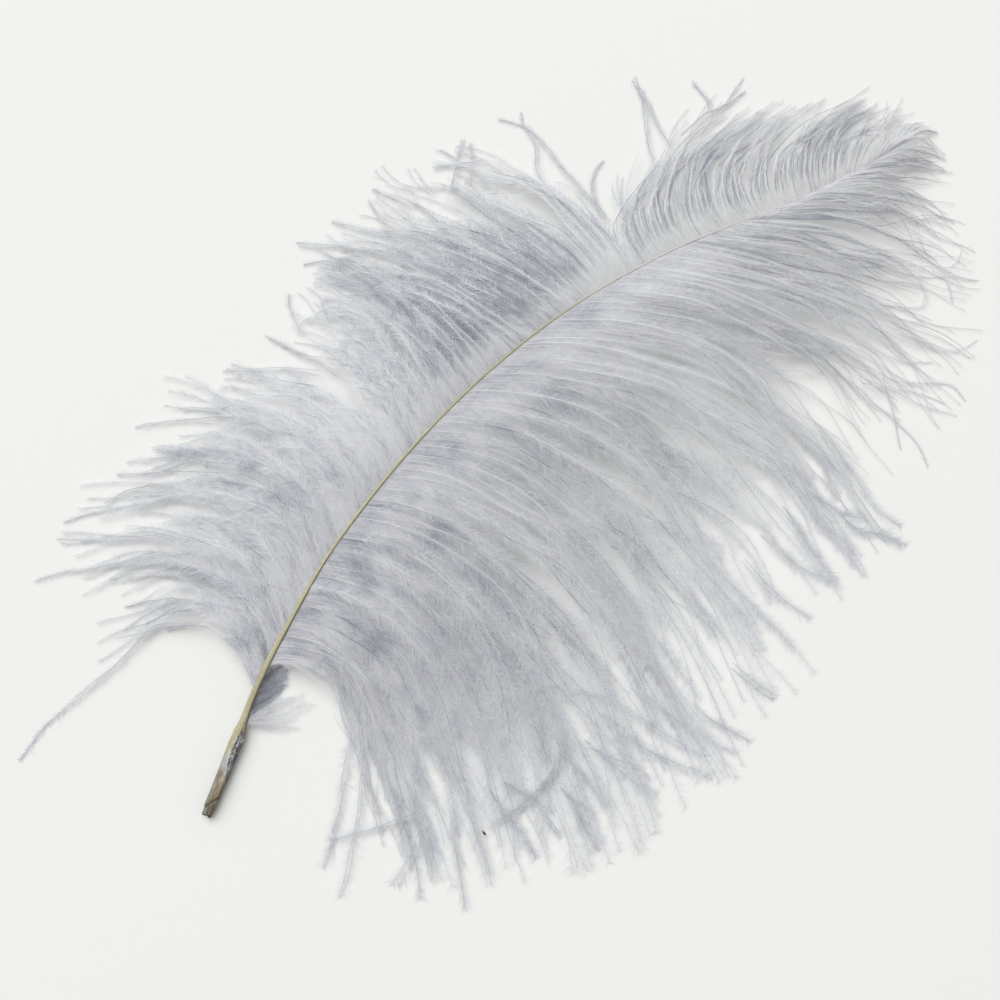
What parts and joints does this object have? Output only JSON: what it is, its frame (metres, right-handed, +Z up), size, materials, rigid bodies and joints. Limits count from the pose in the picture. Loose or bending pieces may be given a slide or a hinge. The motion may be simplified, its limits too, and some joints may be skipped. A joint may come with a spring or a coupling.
{
  "type": "ostrich feather",
  "caption": "Curved ostrich plume with a short bare quill and two broad, soft, wispy vanes, lying flat as a decoration.",
  "frame": {"origin": "middle of the plume's footprint, on the surface it lies on", "axes": "+X along the plume from the quill's cut end towards the tip, +Y towards the vane on the left of that direction, +Z up from the surface it lies on"},
  "size_m": [0.3679, 0.2248, 0.0162],
  "materials": {
    "plume": "soft, matt, pale grey with a violet tinge; the quill is a satin cream and brown"
  },
  "bodies": {
    "root": {"feather": "plume"}
  },
  "joints": []
}
